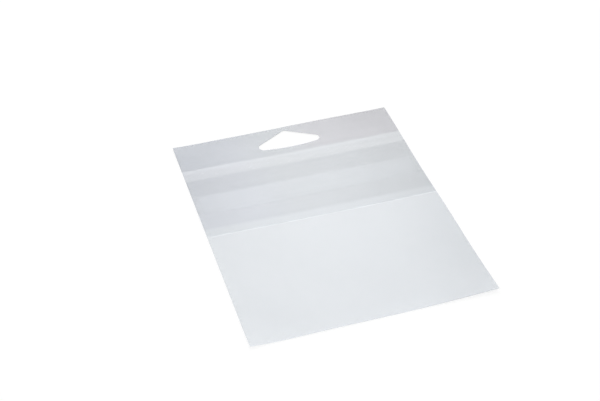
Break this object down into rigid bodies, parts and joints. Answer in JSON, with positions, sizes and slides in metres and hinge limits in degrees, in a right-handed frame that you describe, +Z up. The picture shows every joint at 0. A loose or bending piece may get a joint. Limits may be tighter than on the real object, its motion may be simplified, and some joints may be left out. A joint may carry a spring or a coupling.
{
  "type": "header bag",
  "caption": "Flat clear-film header bag lying on its back, with a triangular hang hole in a reinforced header and a long closing flap over an adhesive strip.",
  "frame": {"origin": "middle of the bag's length and width, on the surface it lies on", "axes": "+Y along the bag towards the header and its hang hole, +Z up out of the front of the bag, +X to the right seen from the front with the header up"},
  "size_m": [0.115, 0.153, 0.0005],
  "materials": {
    "film": "thin hazy clear film with a soft sheen",
    "liner": "smooth white release film",
    "adhesive": "whitish tacky coating"
  },
  "bodies": {
    "root": {"film_bag": "film", "release_liner": "liner", "adhesive_strip": "adhesive"}
  },
  "joints": []
}
